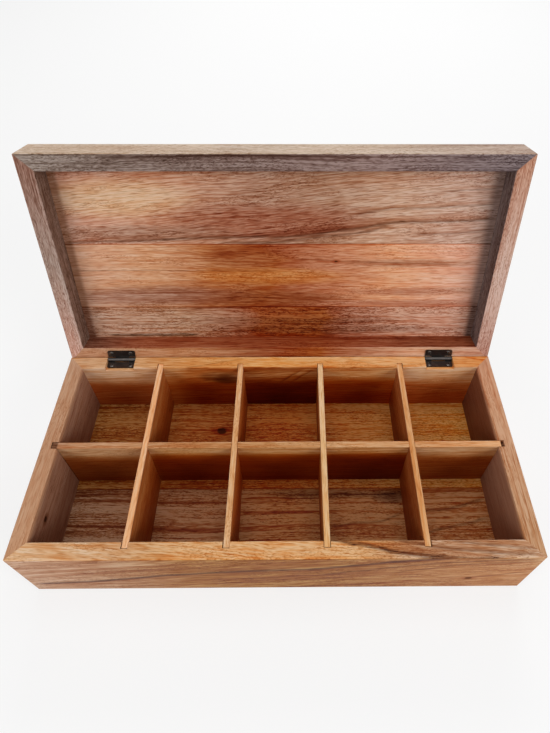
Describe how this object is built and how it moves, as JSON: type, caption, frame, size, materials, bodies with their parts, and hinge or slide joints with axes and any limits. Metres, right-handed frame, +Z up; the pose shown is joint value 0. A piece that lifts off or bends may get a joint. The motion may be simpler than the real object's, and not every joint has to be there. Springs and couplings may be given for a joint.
{
  "type": "tea bag organizer box",
  "caption": "Low rectangular hardwood box with a divided interior in two rows and a deep framed lid that stands open on two small hinges.",
  "frame": {"origin": "middle of the base's footprint, on the surface that the box stands on", "axes": "+X from the left end to the right end seen from the front, along the box's length; +Y from the front to the hinged back; +Z up"},
  "size_m": [0.38, 0.258, 0.2381],
  "materials": {
    "wall_wood": "satin oiled and lacquered hardwood, straight to wavy grain along each wall, brown streaks",
    "floor_wood": "satin lacquered hardwood, darker, strong wavy grain, one knot",
    "divider_wood": "satin lacquered hardwood, thin straight-grained slats",
    "lid_rail_wood": "satin lacquered hardwood, grey brown, grain along each rail",
    "lid_board_wood": "satin lacquered hardwood, three glued boards of different browns",
    "hinge_steel": "black finish, worn bright on the barrel",
    "pin_steel": "plain steel",
    "screw_steel": "black, bright where the driver has worn it"
  },
  "bodies": {
    "base": {"front_wall": "wall_wood", "back_wall": "wall_wood", "left_wall": "wall_wood", "right_wall": "wall_wood", "front_floor_board": "floor_wood", "rear_floor_board": "floor_wood", "long_divider": "divider_wood", "cross_divider_1": "divider_wood", "cross_divider_2": "divider_wood", "cross_divider_3": "divider_wood", "cross_divider_4": "divider_wood", "left_hinge_base_leaf": "hinge_steel", "right_hinge_base_leaf": "hinge_steel", "left_hinge_pin": "pin_steel", "right_hinge_pin": "pin_steel", "base_hinge_screws": "screw_steel"},
    "lid": {"lid_front_rail": "lid_rail_wood", "lid_back_rail": "lid_rail_wood", "lid_left_rail": "lid_rail_wood", "lid_right_rail": "lid_rail_wood", "lid_front_board": "lid_board_wood", "lid_middle_board": "lid_board_wood", "lid_rear_board": "lid_board_wood", "left_hinge_lid_leaf": "hinge_steel", "right_hinge_lid_leaf": "hinge_steel", "lid_hinge_screws": "screw_steel"}
  },
  "joints": [
    {"name": "lid_hinge", "type": "hinge", "parent": "base", "child": "lid", "pos_m": [0, 0.0894, 0.0652], "axis": [1, 0, 0], "range_deg": [0, 105.78]}
  ]
}
